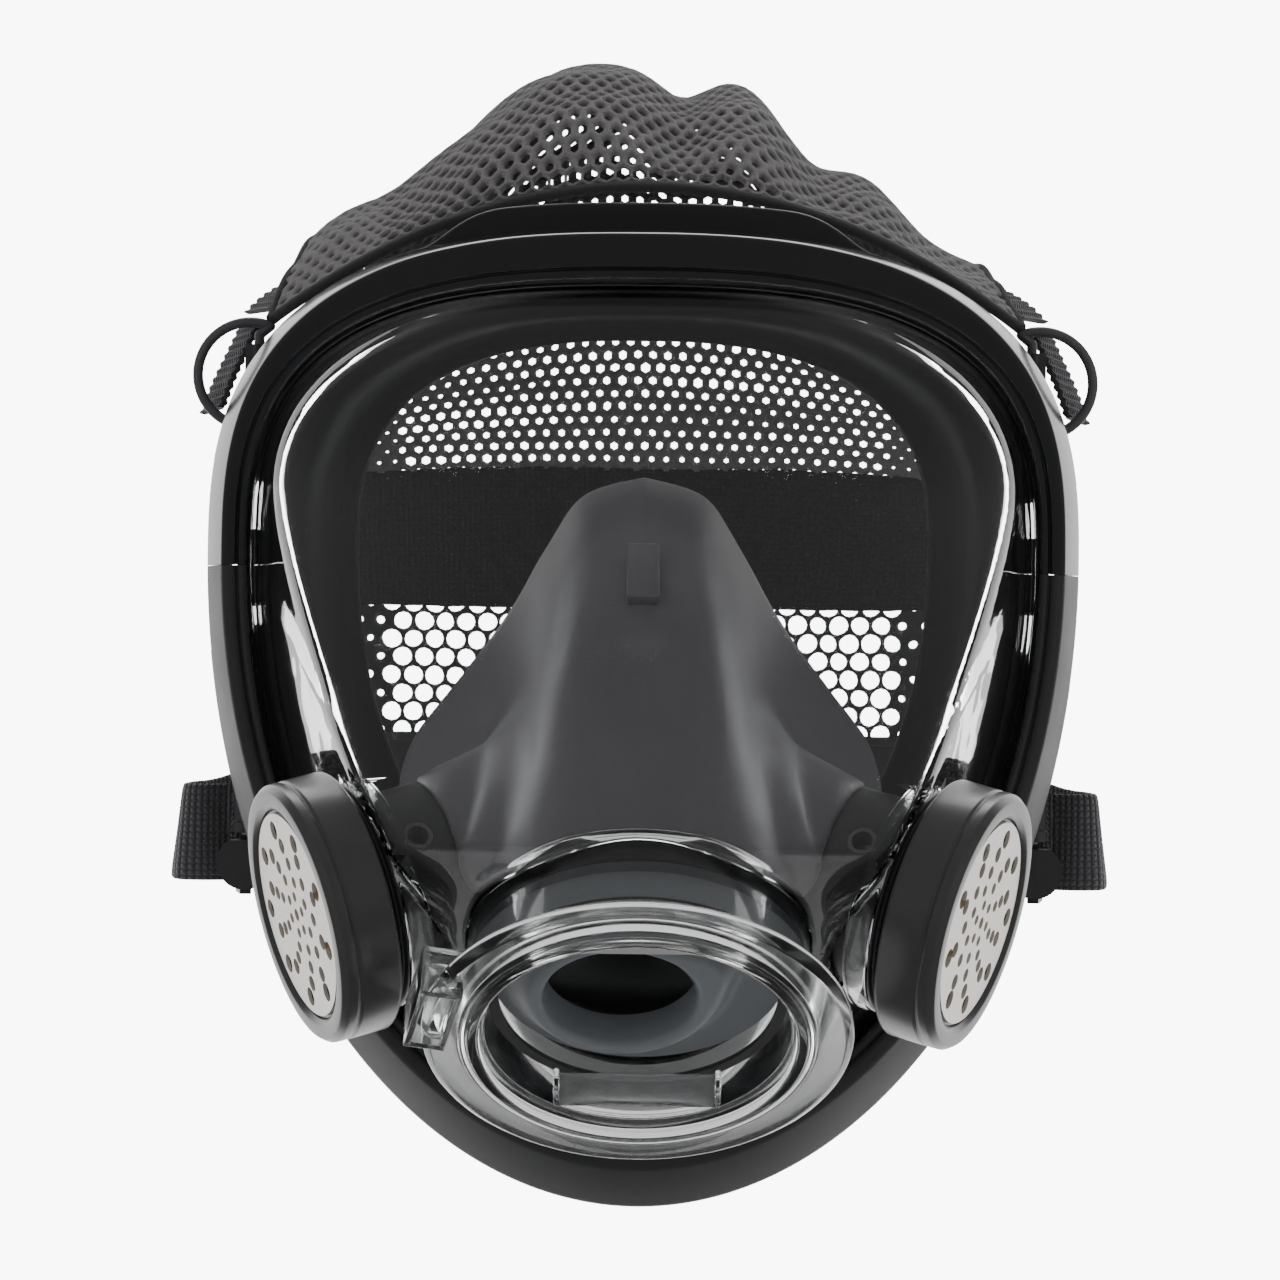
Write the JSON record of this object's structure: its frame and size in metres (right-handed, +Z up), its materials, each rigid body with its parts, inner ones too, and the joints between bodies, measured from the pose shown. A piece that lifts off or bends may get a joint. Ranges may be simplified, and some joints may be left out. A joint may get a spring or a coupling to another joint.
{
  "type": "full face respirator",
  "caption": "Full face respirator with a wide clear lens, clamped frame, rubber face seal, nose cup, regulator port, speech diaphragms and a mesh head net.",
  "frame": {"origin": "the middle of the opening that the face goes into, between the temples", "axes": "+X to the wearer's left, +Y back towards the wearer's head, +Z up"},
  "size_m": [0.216, 0.2064, 0.2562],
  "materials": {
    "lens": "clear, polished",
    "port": "clear, slightly cloudy",
    "gasket": "satin",
    "bezel_gloss": "gloss black",
    "bezel_matte": "satin dark grey",
    "screws": "plain",
    "seal_rubber": "satin black",
    "cup_rubber": "satin dark grey",
    "adapter": "satin grey",
    "sleeve": "satin",
    "duct": "satin black",
    "voice_base": "satin black",
    "voice_cap": "semi-gloss black",
    "grille": "satin",
    "diaphragm": "thin amber film",
    "valve_seat": "satin",
    "valve_flap": "soft",
    "lug": "satin black",
    "ring": "dark grey",
    "strap": "knitted",
    "buckle": "black",
    "webbing": "coarse weave",
    "pins": "plain",
    "net": "open knit",
    "net_band": "woven tape",
    "net_back": "close knit"
  },
  "bodies": {
    "mask": {"lens": "lens", "regulator_port": "port", "port_gasket": "gasket", "frame_upper": "bezel_gloss", "frame_lower": "bezel_matte", "frame_screws": "screws", "frame_nuts": "screws", "face_seal": "seal_rubber", "nose_cup": "cup_rubber", "nose_cup_adapter": "adapter", "nose_cup_sleeve": "sleeve", "duct_left": "duct", "duct_right": "duct", "voice_base_left": "voice_base", "voice_base_right": "voice_base", "voice_cap_left": "voice_cap", "voice_cap_right": "voice_cap", "voice_grille_left": "grille", "voice_grille_right": "grille", "voice_diaphragm_left": "diaphragm", "voice_diaphragm_right": "diaphragm", "voice_gasket_left": "gasket", "voice_gasket_right": "gasket", "inhale_seat_left": "valve_seat", "inhale_seat_right": "valve_seat", "upper_lug_left": "lug", "upper_lug_right": "lug", "lower_lug_left": "lug", "lower_lug_right": "lug", "upper_strap_left": "strap", "upper_strap_right": "strap", "lower_strap_left": "webbing", "lower_strap_right": "webbing", "lower_pins": "pins", "net_crown": "net", "net_band": "net_band", "net_back": "net_back"},
    "strap_ring_left": {"strap_ring_left": "ring", "upper_tail_left": "strap"},
    "lower_buckle_left": {"lower_buckle_left": "buckle", "lower_tail_left": "webbing"},
    "inhale_flap_left": {"inhale_flap_left": "valve_flap"},
    "strap_ring_right": {"strap_ring_right": "ring", "upper_tail_right": "strap"},
    "lower_buckle_right": {"lower_buckle_right": "buckle", "lower_tail_right": "webbing"},
    "inhale_flap_right": {"inhale_flap_right": "valve_flap"}
  },
  "joints": [
    {"name": "strap_ring_left_hinge", "type": "hinge", "parent": "mask", "child": "strap_ring_left", "pos_m": [0.0874, 0.0532, 0.059], "axis": [0, 0, 1], "range_deg": [-18, 13]},
    {"name": "lower_buckle_left_hinge", "type": "hinge", "parent": "mask", "child": "lower_buckle_left", "pos_m": [0.089, 0.056, -0.038], "axis": [0, 0, 1], "range_deg": [-20, 4]},
    {"name": "inhale_flap_left_lift", "type": "slide", "parent": "mask", "child": "inhale_flap_left", "axis": [0.1745, 0.8122, -0.5566], "range_m": [0, 0.0012], "stiffness_N_per_m": 50},
    {"name": "strap_ring_right_hinge", "type": "hinge", "parent": "mask", "child": "strap_ring_right", "pos_m": [-0.0874, 0.0532, 0.059], "axis": [0, 0, -1], "range_deg": [-18, 13]},
    {"name": "lower_buckle_right_hinge", "type": "hinge", "parent": "mask", "child": "lower_buckle_right", "pos_m": [-0.089, 0.056, -0.038], "axis": [0, 0, -1], "range_deg": [-20, 4]},
    {"name": "inhale_flap_right_lift", "type": "slide", "parent": "mask", "child": "inhale_flap_right", "axis": [-0.1745, 0.8122, -0.5566], "range_m": [0, 0.0012], "stiffness_N_per_m": 50}
  ]
}
